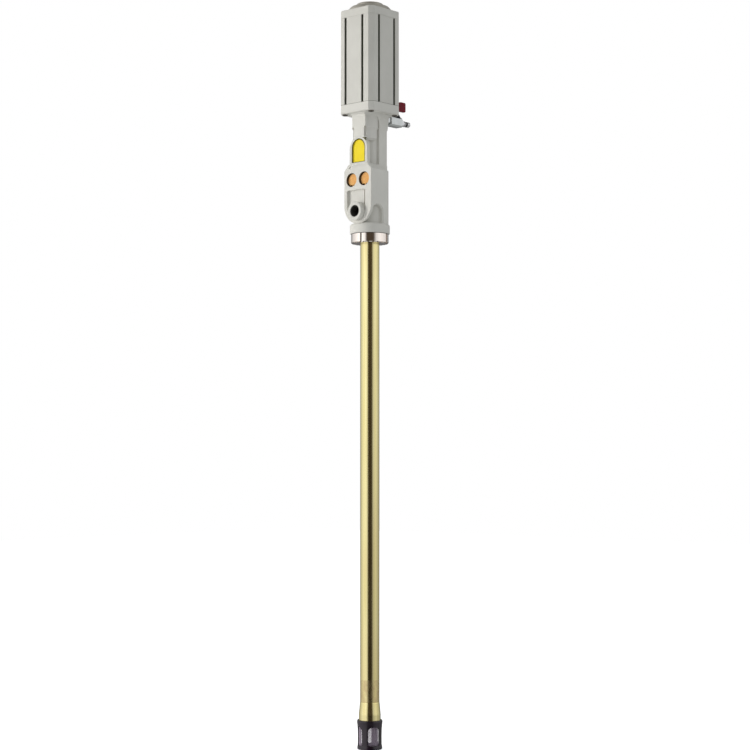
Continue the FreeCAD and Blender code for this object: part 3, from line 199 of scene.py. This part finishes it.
class Shader:
    """Short names for the nodes that the materials share."""

    def __init__(self, name):
        self.material = bpy.data.materials.new(name)
        self.material.use_nodes = True
        self.tree = self.material.node_tree
        self.bsdf = self.tree.nodes["Principled BSDF"]
        self.place = self.tree.nodes.new("ShaderNodeTexCoord").outputs["Object"]

    def link(self, output, target):
        self.tree.links.new(output, target)

    def set(self, **values):
        for name, value in values.items():
            self.bsdf.inputs[name.replace("_", " ").capitalize()].default_value = value

    def noise(self, scale, detail=3.0, stretch=(1, 1, 1), rough=0.5):
        mapping = self.tree.nodes.new("ShaderNodeMapping")
        mapping.inputs["Scale"].default_value = stretch
        self.link(self.place, mapping.inputs["Vector"])
        node = self.tree.nodes.new("ShaderNodeTexNoise")
        node.inputs["Scale"].default_value = scale
        node.inputs["Detail"].default_value = detail
        node.inputs["Roughness"].default_value = rough
        self.link(mapping.outputs["Vector"], node.inputs["Vector"])
        return node.outputs["Fac"]

    def ramp(self, factor, *stops):
        return colour_ramp(self.tree, factor, stops)

    def tones(self, factor, low, high):
        return self.ramp(factor, (0.3, low), (0.7, high))

    def clouds(self, scale, low, high, detail=3.0, stretch=(1, 1, 1)):
        """Soft patches that go from the low tone to the high one."""
        return self.tones(self.noise(scale, detail, stretch), low, high)

    def mix(self, factor, first, second):
        return mixed(self.tree, factor, first, second)

    def math(self, operation, first, second=0.0):
        node = self.tree.nodes.new("ShaderNodeMath")
        node.operation = operation
        for index, value in enumerate((first, second)):
            if isinstance(value, (int, float)):
                node.inputs[index].default_value = value
            else:
                self.link(value, node.inputs[index])
        return node.outputs[0]

    def axis(self, letter):
        node = self.tree.nodes.new("ShaderNodeSeparateXYZ")
        self.link(self.place, node.inputs[0])
        return node.outputs[letter]

    def flipped(self, mask):
        return self.math("SUBTRACT", 1.0, mask)

    def both(self, *masks):
        """1 where every mask is 1."""
        result = masks[0]
        for mask in masks[1:]:
            result = self.math("MULTIPLY", result, mask)
        return result

    def below(self, letter, limit):
        """1 where the coordinate is under the limit, in metres, and 0 over it."""
        return self.math("LESS_THAN", self.axis(letter), limit)

    def over(self, letter, limit):
        return self.flipped(self.below(letter, limit))

    def between(self, letter, low, high):
        return self.both(self.below(letter, high), self.over(letter, low))

    def near_lines(self, aside, height, radius):
        """1 within the radius of the lines along Y at this height, aside to the left and to the right."""
        across = self.math("SUBTRACT", self.math("ABSOLUTE", self.axis("X")), aside)
        across = self.math("POWER", across, 2.0)
        along = self.math("POWER", self.math("SUBTRACT", self.axis("Z"), height), 2.0)
        return self.math("LESS_THAN", self.math("ADD", across, along), radius ** 2)

    def bump(self, height, strength, distance):
        node = self.tree.nodes.new("ShaderNodeBump")
        node.inputs["Strength"].default_value = strength
        node.inputs["Distance"].default_value = distance
        self.link(height, node.inputs["Height"])
        self.link(node.outputs["Normal"], self.bsdf.inputs["Normal"])

    def colour(self, output):
        self.link(output, self.bsdf.inputs["Base Color"])

    def rough(self, output):
        self.link(output, self.bsdf.inputs["Roughness"])


def paint_tones(s, paler=0):
    """Pale grey paint, slightly cloudy, with paler rubbed flecks."""
    low, high = [[tone + paler for tone in pair] for pair in ((206, 204, 197), (215, 213, 206))]
    cloud = s.clouds(18, srgb(*low), srgb(*high), 4)
    flecks = s.ramp(s.noise(420, 2, rough=0.7), (0.70, 0.0), (0.76, 0.6))
    return s.mix(flecks, cloud, srgb(224, 224, 219))


def paint_gloss(s):
    return s.clouds(90, 0.40, 0.55)


def barrel_paint():
    """Grey paint with painted shade in the grooves and a thin dark line where the barrel sits on its base.
    """
    s = Shader("grey_barrel_paint")
    across = s.math("ABSOLUTE", s.axis("X"))
    along = s.math("ABSOLUTE", s.axis("Y"))
    sunk = s.math("LESS_THAN", s.math("MAXIMUM", across, along), MOTOR_FACE - GROOVE_RIM)
    inside = s.math("LESS_THAN", s.math("MINIMUM", across, along), GROOVE_REACH)
    line = s.math("MULTIPLY", s.below("Z", BARREL_Z + JOINT_LINE), JOINT_SHADE)
    tone = s.mix(line, paint_tones(s), srgb(86, 84, 70))
    # Painted shade: the groove insides are darkened where shade falls in them
    groove = s.clouds(70, srgb(84, 87, 75), srgb(106, 108, 95))
    s.colour(s.mix(s.both(sunk, inside), tone, groove))
    s.rough(paint_gloss(s))
    s.bump(s.noise(900, 4), 0.2, 0.0003)
    return s.material


def outlet_bore(s):
    """Mask of the outlet's wall, from behind its bevel to its end."""
    round_bore = s.near_lines(0, OUTLET_Z, OUTLET_MOUTH)
    return s.both(round_bore, s.between("Y", OUTLET_FACE + MOUTH_BEVEL, BORE_END))


def disc_wells(s):
    """Mask of the walls in front of the two silencer discs."""
    round_wells = s.near_lines(DISC_X, DISC_Z, DISC_R + RECESS_WALL)
    return s.both(round_wells, s.between("Y", PLATE_FACE + SKIN, PLATE_FACE + WELL_DEPTH))


def label_walls(s):
    """Mask of the low walls round the label's recess."""
    low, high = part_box("name_label")
    return s.both(
        s.between("X", low.x - RECESS_WALL, high.x + RECESS_WALL),
        s.between("Z", low.z - RECESS_WALL, high.z + RECESS_WALL),
        s.between("Y", PLATE_FACE + LABEL_WALL_START, high.y + SKIN),
    )


def cast_paint():
    """Grey paint on a cast skin with fine orange peel, and shade in the outlet, wells and label recess."""
    s = Shader("grey_cast_paint")
    tone = s.mix(outlet_bore(s), paint_tones(s, CAST_PALER), srgb(52, 52, 48))
    tone = s.mix(disc_wells(s), tone, srgb(104, 92, 78))
    s.colour(s.mix(label_walls(s), tone, srgb(120, 116, 84)))
    s.rough(paint_gloss(s))
    s.bump(s.noise(900, 4), 0.25, 0.0004)
    return s.material


def turned_tones(s):
    return s.clouds(40, srgb(168, 163, 152), srgb(192, 187, 176))


def turned_gloss(s):
    return s.clouds(120, 0.26, 0.4, 2)


def cap_finish():
    """Painted slab with a bare turned step above it."""
    s = Shader("grey_paint_and_turned_step")
    painted = s.below("Z", CAP_FACE)
    s.colour(s.mix(painted, turned_tones(s), paint_tones(s)))
    s.link(s.math("MULTIPLY", s.flipped(painted), TURNED_METALLIC), s.bsdf.inputs["Metallic"])
    s.rough(s.mix(painted, turned_gloss(s), paint_gloss(s)))
    s.bump(s.noise(900, 4), 0.2, 0.0004)
    return s.material


def turned_grey():
    """Machined aluminium of the cover, with fine turning marks."""
    s = Shader("turned_grey_metal")
    s.set(Metallic=TURNED_METALLIC)
    s.colour(turned_tones(s))
    s.rough(turned_gloss(s))
    s.bump(s.noise(300, 2, (1, 1, 14)), 0.15, 0.0002)
    return s.material


def drawn_lines(s):
    return s.noise(220, 3, (1, 1, 0.02))


def nut_plating():
    """Bright plating on the ring nut with a dark line of shade under its top edge."""
    s = Shader("bright_nut_plating")
    s.set(Metallic=1.0)
    streak = drawn_lines(s)
    bright = s.tones(streak, srgb(238, 228, 220), srgb(247, 240, 233))
    s.colour(s.mix(s.over("Z", NUT_LIP), bright, srgb(60, 52, 44)))
    s.rough(s.clouds(60, 0.08, 0.16, stretch=(1, 1, 0.15)))
    s.bump(streak, 0.03, 0.0001)
    return s.material


def yellow_plating():
    """Yellow zinc on the tube: drawn lines, soft iridescence, a dull handled band above the foot valve."""
    s = Shader("yellow_plating")
    s.set(Metallic=1.0)
    streak = drawn_lines(s)
    tone = s.tones(streak, srgb(224, 210, 146), srgb(238, 228, 174))
    bloom = s.ramp(s.noise(26, 3, (1, 1, 0.35)), (0.45, 0.0), (0.75, 0.35))
    tone = s.mix(bloom, tone, srgb(224, 202, 152))
    grime = s.ramp(s.noise(160, 4, (1, 1, 0.5)), (0.35, 0.25), (0.65, 0.9))
    dull = s.math("MULTIPLY", s.between("Z", BAND_BOTTOM, BAND_TOP), grime)
    s.colour(s.mix(dull, tone, srgb(206, 184, 138)))
    plain_gloss = s.clouds(60, 0.15, 0.23, stretch=(1, 1, 0.15))
    dull_gloss = (0.34, 0.34, 0.34, 1)
    s.rough(s.mix(dull, plain_gloss, dull_gloss))
    s.bump(s.mix(dull, streak, s.noise(420, 4)), 0.05, 0.0002)
    return s.material


def metal(name, low, high, rough_low, rough_high, scale=150):
    """Bare metal, slightly uneven in tone and gloss."""
    s = Shader(name)
    s.set(Metallic=1.0)
    s.colour(s.clouds(scale / 3, low, high))
    s.rough(s.clouds(scale, rough_low, rough_high))
    s.bump(s.noise(scale * 4, 2), 0.08, 0.0002)
    return s.material


def woven_wire():
    """Dull drawn wire of the strainer, with a lilac cast."""
    s = Shader("woven_wire")
    s.set(Metallic=0.25)
    s.colour(s.clouds(50, srgb(184, 168, 188), srgb(212, 198, 214)))
    s.rough(s.clouds(150, 0.4, 0.55))
    s.bump(s.noise(600, 2), 0.08, 0.0002)
    return s.material


def valve_plating():
    """Satin nickel on the valve's flats, with painted shade on the bonnet above them, where it sits under
    the motor base.
    """
    s = Shader("valve_nickel_painted_shade")
    # Painted shade: the bonnet under the motor base is darkened and made less metallic
    dark = s.over("Z", VALVE_SHADE_START)
    s.link(s.flipped(s.math("MULTIPLY", dark, BONNET_SHADE_DULLING)), s.bsdf.inputs["Metallic"])
    satin = s.clouds(40, srgb(202, 206, 207), srgb(212, 216, 216))
    s.colour(s.mix(dark, satin, srgb(38, 35, 36)))
    s.rough(s.clouds(120, 0.30, 0.40))
    s.bump(s.noise(600, 2), 0.04, 0.0001)
    return s.material


def plug_chrome():
    """Bright chrome plug with painted shade in its coupler groove and a narrow ring of painted dark
    reflection behind it.
    """
    s = Shader("plug_chrome")
    s.set(Metallic=1.0)
    neck = s.between("Y", PLUG_NECK, PLUG_NECK + PLUG_NECK_L)
    collar = s.between("Y", PLUG_NECK - 3 * PLUG_COLLAR_L, PLUG_NECK - 2 * PLUG_COLLAR_L)
    bright = s.clouds(50, srgb(206, 207, 209), srgb(222, 223, 225))
    # Painted shade in the coupler groove and a painted dark reflection ring behind it, both near black
    s.colour(s.mix(s.math("MAXIMUM", neck, collar), bright, srgb(40, 40, 42)))
    s.rough(s.clouds(140, 0.07, 0.15))
    s.bump(s.noise(500, 2), 0.03, 0.0001)
    return s.material


def sintered():
    """Sintered bronze discs: coarse open grain."""
    s = Shader("sintered_bronze")
    s.set(Metallic=0.1)
    grain = s.noise(1400, 2, rough=0.7)
    s.colour(s.ramp(
        grain, (0.35, srgb(236, 156, 84)), (0.55, srgb(253, 196, 120)), (0.7, srgb(255, 217, 155))))
    s.rough(s.clouds(500, 0.6, 0.85))
    s.bump(grain, 0.7, 0.0006)
    return s.material


def soft_material(name, low, high, rough_low, rough_high, grain=700, depth=0.0003):
    """Rubber or plastic with a fine moulded grain."""
    s = Shader(name)
    s.colour(s.clouds(60, low, high))
    s.rough(s.clouds(180, rough_low, rough_high))
    s.bump(s.noise(grain, 3), 0.2, depth)
    return s.material


def label_film():
    """Plain yellow film with a thin dark line of painted shade along its arch and foot, shifted so that it
    lies to the right, where the recess wall shades it.
    """
    s = Shader("yellow_label_film")
    film = s.clouds(45, srgb(246, 218, 22), srgb(250, 225, 31))
    low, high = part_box("name_label")
    half = high.x
    spring = high.z - half
    rise = s.math("MAXIMUM", s.math("SUBTRACT", s.axis("Z"), spring), 0.0)
    aside = s.math("ADD", s.axis("X"), LABEL_SHADE_SHIFT)
    reach = s.math("SQRT", s.math("ADD", s.math("POWER", aside, 2.0), s.math("POWER", rise, 2.0)))
    gap = s.math("MINIMUM", s.math("SUBTRACT", half, reach), s.math("SUBTRACT", s.axis("Z"), low.z))
    # Painted shade: a dark line where the recess wall shades the film's edge
    line = s.math("LESS_THAN", gap, LABEL_SHADE_LINE)
    s.colour(s.mix(line, film, srgb(92, 88, 20)))
    s.rough(s.clouds(140, 0.32, 0.46))
    s.bump(s.noise(600, 2), 0.08, 0.0002)
    return s.material


def lacquer():
    """Red lacquer of the handle, semi-gloss."""
    s = Shader("red_lacquer")
    s.colour(s.clouds(80, srgb(102, 4, 24), srgb(120, 8, 32)))
    s.bsdf.inputs["Specular IOR Level"].default_value = 0.2
    s.rough(s.clouds(160, 0.36, 0.5))
    s.bump(s.noise(500, 2), 0.12, 0.0002)
    return s.material


def thread_metal():
    """Metal of the outlet thread, coloured dark as painted shade deep in the bore."""
    s = Shader("thread_painted_shade")
    s.set(Metallic=0.6)
    # Painted shade: the thread's dark tones stand for the shade deep inside the bore
    s.colour(s.clouds(300, srgb(60, 60, 56), srgb(92, 92, 86)))
    s.rough(s.clouds(200, 0.3, 0.5))
    s.bump(s.noise(900, 2), 0.1, 0.0002)
    return s.material


materials = {
    "body_paint": cast_paint(),
    "cover_grey": turned_grey(),
    "gold_plate": yellow_plating(),
    "nut_plate": nut_plating(),
    "nickel": metal("satin_nickel", srgb(190, 194, 194), srgb(208, 211, 210), 0.14, 0.26),
    "steel": metal("machined_steel", srgb(140, 140, 140), srgb(168, 168, 168), 0.28, 0.42),
    "hard_chrome": metal("hard_chrome", srgb(200, 202, 204), srgb(215, 216, 218), 0.05, 0.12),
    "bronze": metal("machined_bronze", srgb(176, 128, 64), srgb(196, 148, 84), 0.25, 0.4),
    "sintered": sintered(),
    "aluminium": metal("turned_aluminium", srgb(180, 181, 183), srgb(200, 201, 203), 0.25, 0.38),
    "rubber_black": soft_material("black_rubber", srgb(16, 16, 16), srgb(28, 28, 28), 0.55, 0.75),
    "seal_white": soft_material("seal_plastic", srgb(214, 212, 200), srgb(228, 226, 214), 0.4, 0.55),
    "black_plastic": soft_material(
        "black_moulding", srgb(23, 13, 24), srgb(35, 21, 36), 0.16, 0.28, grain=400, depth=0.0002),
    "mesh_steel": woven_wire(),
    "label_yellow": label_film(),
    "handle_red": lacquer(),
    "spring_steel": metal("spring_steel", srgb(96, 96, 98), srgb(128, 128, 130), 0.25, 0.4),
}
for part in frame["record"]["subparts"]:
    mesh = nodes[part["node"]].data
    mesh.materials.clear()
    mesh.materials.append(materials[part["material_slot"]])
special = {
    "motor_top_cap": cap_finish(),
    "motor_cylinder": barrel_paint(),
    "valve_body": valve_plating(),
    "quick_plug": plug_chrome(),
    "silencer_circlips": metal("black_circlip", srgb(34, 28, 24), srgb(54, 46, 40), 0.35, 0.5),
    "tie_bolts": metal("dark_bolt", srgb(104, 101, 94), srgb(130, 126, 118), 0.35, 0.5),
}
for name, finish in special.items():
    nodes[name].data.materials[0] = finish


def mesh_piece(name, points, faces, material, body="casing"):
    """New visible piece with smooth faces that moves with a body."""
    mesh = bpy.data.meshes.new(name)
    mesh.from_pydata(points, [], faces)
    mesh.update()
    for polygon in mesh.polygons:
        polygon.use_smooth = True
    piece = bpy.data.objects.new(name, mesh)
    bpy.context.scene.collection.objects.link(piece)
    mesh.materials.append(material)
    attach(piece, body)
    return piece


def wire(path, radius, sides):
    """Tube with closed ends along points that run round the Z axis, as points and faces."""
    points, faces = [], []
    for index, here in enumerate(path):
        ahead = path[min(index + 1, len(path) - 1)] - path[max(index - 1, 0)]
        ahead.normalize()
        out = Vector((here.x, here.y, 0)).normalized()
        across = ahead.cross(out).normalized()
        for side in range(sides):
            turn = 2 * math.pi * side / sides
            points.append(here + radius * (math.cos(turn) * out + math.sin(turn) * across))
    for index in range(len(path) - 1):
        for side in range(sides):
            a, b = index * sides + side, index * sides + (side + 1) % sides
            faces.append((a, b, b + sides, a + sides))
    faces.append(tuple(range(sides))[::-1])
    faces.append(tuple(range(len(points) - sides, len(points))))
    return points, faces


def woven_strainer():
    """Wires that run both ways round the strainer at 45 degrees, over and under each other."""
    low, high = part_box("strainer_mesh")
    radius = high.x - WIRE_R * WIRE_INSET
    bottom, top = low.z + WIRE_R * 2, high.z - WIRE_R
    turn = (top - bottom) / radius
    crossing = math.pi / WIRES
    steps = int(turn / crossing) * 2
    points, faces = [], []
    for hand in (-1, 1):
        for number in range(WIRES):
            path = []
            for step in range(steps + 1):
                share = step / steps
                wave = math.sin(math.pi * turn * share / crossing + number * math.pi)
                angle = 2 * math.pi * number / WIRES + hand * turn * share
                r = radius + wave * hand * WIRE_R * WEAVE
                z = bottom + (top - bottom) * share
                path.append(Vector((r * math.cos(angle), r * math.sin(angle), z)))
            more, quads = wire(path, WIRE_R, WIRE_SIDES)
            faces += [tuple(index + len(points) for index in quad) for quad in quads]
            points += more
    piece = mesh_piece("woven_strainer_mesh", points, faces, materials["mesh_steel"])
    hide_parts("strainer_mesh")


def outlet_thread():
    """Female pipe thread: a helical ridge inside the outlet bore, with closed ends."""
    steps = int(THREAD_L / THREAD_PITCH) * THREAD_STEPS
    profile = ((THREAD_ROOT, -0.5), (-THREAD_CREST, 0.0), (THREAD_ROOT, 0.5))
    corners = len(profile)
    points, faces = [], []
    for step in range(steps + 1):
        angle = 2 * math.pi * step / THREAD_STEPS
        depth = OUTLET_FACE + THREAD_START + THREAD_PITCH * step / THREAD_STEPS
        for grow, shift in profile:
            r = THREAD_R + grow
            y = depth + shift * THREAD_PITCH * THREAD_WIDTH
            points.append((r * math.cos(angle), y, OUTLET_Z + r * math.sin(angle)))
    for step in range(steps):
        for side in range(corners):
            a, b = step * corners + side, step * corners + (side + 1) % corners
            faces.append((a, a + corners, b + corners, b))
    last = len(points) - 1
    faces.append((0, 1, 2))
    faces.append((last, last - 1, last - 2))
    mesh_piece("outlet_thread", points, faces, thread_metal())


def compass_levels(tree, turn, stops):
    """Brightness round the compass, from degrees right of the camera and a level or colour for each."""
    return colour_ramp(tree, turn, [((degrees + 180) / 360, level) for degrees, level in stops])


def spread(tree, source, low, high):
    """0 to 1 as the source goes from low to high."""
    node = tree.nodes.new("ShaderNodeMapRange")
    node.inputs["From Min"].default_value = low
    node.inputs["From Max"].default_value = high
    tree.links.new(source, node.inputs["Value"])
    return node.outputs["Result"]


def compass_turn(tree, sight):
    """Direction round the Z axis, 0 to 1, with 0.5 on the camera's side."""
    parts = []
    for turned in (CAMERA_AZIMUTH, CAMERA_AZIMUTH - math.pi / 2):
        dot = tree.nodes.new("ShaderNodeVectorMath")
        dot.operation = "DOT_PRODUCT"
        tree.links.new(sight, dot.inputs[0])
        dot.inputs[1].default_value = (math.cos(turned), math.sin(turned), 0)
        parts.append(dot.outputs["Value"])
    angle = tree.nodes.new("ShaderNodeMath")
    angle.operation = "ARCTAN2"
    tree.links.new(parts[0], angle.inputs[0])
    tree.links.new(parts[1], angle.inputs[1])
    return spread(tree, angle.outputs[0], -math.pi, math.pi)


def ring_of_light(tree):
    """The studio as metal sees it: bright sides, a dark gap by the camera, mid grey above and below."""
    sight = tree.nodes.new("ShaderNodeTexCoord").outputs["Generated"]
    turn = compass_turn(tree, sight)
    height = tree.nodes.new("ShaderNodeSeparateXYZ")
    tree.links.new(sight, height.inputs[0])
    above = spread(tree, height.outputs["Z"], EYE_LEVEL_LOW, EYE_LEVEL_HIGH)
    low_wall = compass_levels(tree, turn, LEVELS_BELOW)
    wall = mixed(tree, above, low_wall, compass_levels(tree, turn, LEVELS_ABOVE))
    steep = tree.nodes.new("ShaderNodeMath")
    steep.operation = "ABSOLUTE"
    tree.links.new(height.outputs["Z"], steep.inputs[0])
    return mixed(tree, spread(tree, steep.outputs[0], STEEP_START, STEEP_FULL), wall, STEEP_LIGHT)


def studio_world():
    """White to the camera, a ring of light to shiny surfaces, and soft light to all else."""
    world = bpy.data.worlds.new("studio")
    bpy.context.scene.world = world
    world.use_nodes = True
    tree = world.node_tree
    rays = tree.nodes.new("ShaderNodeLightPath")
    level = mixed(tree, rays.outputs["Is Glossy Ray"], SOFT_LIGHT, ring_of_light(tree))
    for seen in ("Is Camera Ray", "Is Transmission Ray"):
        level = mixed(tree, rays.outputs[seen], level, WHITE)
    tree.links.new(level, tree.nodes["Background"].inputs["Color"])


def studio_floor():
    """White to the camera with a soft contact shadow, and left out of reflections."""
    low = Vector(cad_box[0])
    bpy.ops.mesh.primitive_plane_add(size=FLOOR_SIZE, location=(0, 0, low.z - FLOOR_GAP))
    floor = bpy.context.object
    floor.name = "studio_floor"
    s = Shader("studio_floor_white")
    s.colour(s.clouds(2, 0.82, 0.84))
    s.set(Roughness=0.9)
    s.bsdf.inputs["Emission Color"].default_value = WHITE
    rays = s.tree.nodes.new("ShaderNodeLightPath")
    glow = s.math("MULTIPLY", rays.outputs["Is Camera Ray"], FLOOR_GLOW)
    s.link(glow, s.bsdf.inputs["Emission Strength"])
    clear = s.tree.nodes.new("ShaderNodeBsdfTransparent")
    mix = s.tree.nodes.new("ShaderNodeMixShader")
    s.link(rays.outputs["Is Glossy Ray"], mix.inputs[0])
    s.link(s.bsdf.outputs[0], mix.inputs[1])
    s.link(clear.outputs[0], mix.inputs[2])
    s.link(mix.outputs[0], s.tree.nodes["Material Output"].inputs["Surface"])
    floor.data.materials.append(s.material)


def soft_box(name, place, width, power, tint=(1, 1, 1)):
    """Tall area lamp that points at the part and stays out of reflections."""
    lamp = bpy.data.lights.new(name, "AREA")
    lamp.shape = "RECTANGLE"
    lamp.size = width
    lamp.size_y = LAMP_HEIGHT
    lamp.energy = power
    lamp.color = tint
    holder = bpy.data.objects.new(name, lamp)
    bpy.context.scene.collection.objects.link(holder)
    holder.location = place
    towards = Vector(LAMP_TARGET) - Vector(place)
    holder.rotation_euler = towards.to_track_quat("-Z", "Y").to_euler()
    holder.visible_glossy = False


def camera():
    data = bpy.data.cameras.new("product_camera")
    data.lens = CAMERA_LENS
    data.sensor_width = CAMERA_SENSOR
    holder = bpy.data.objects.new("product_camera", data)
    bpy.context.scene.collection.objects.link(holder)
    towards = Vector((math.sin(CAMERA_AZIMUTH), -math.cos(CAMERA_AZIMUTH), 0))
    right = Vector((math.cos(CAMERA_AZIMUTH), math.sin(CAMERA_AZIMUTH), 0))
    holder.location = towards * AXIS_DISTANCE + right * CAMERA_ASIDE + Vector((0, 0, CAMERA_HEIGHT))
    holder.rotation_euler = (math.pi / 2 + CAMERA_TILT, 0, CAMERA_AZIMUTH)
    bpy.context.scene.camera = holder


woven_strainer()
outlet_thread()
studio_world()
studio_floor()
camera()
soft_box("key_left", place=(-2.6, -2.75, 0.0), width=1.4, power=106, tint=(1, 0.98, 0.95))
soft_box("fill_right", place=(2.4, 1.5, -0.3), width=1.0, power=6.5)
bpy.context.scene.view_settings.view_transform = "Standard"
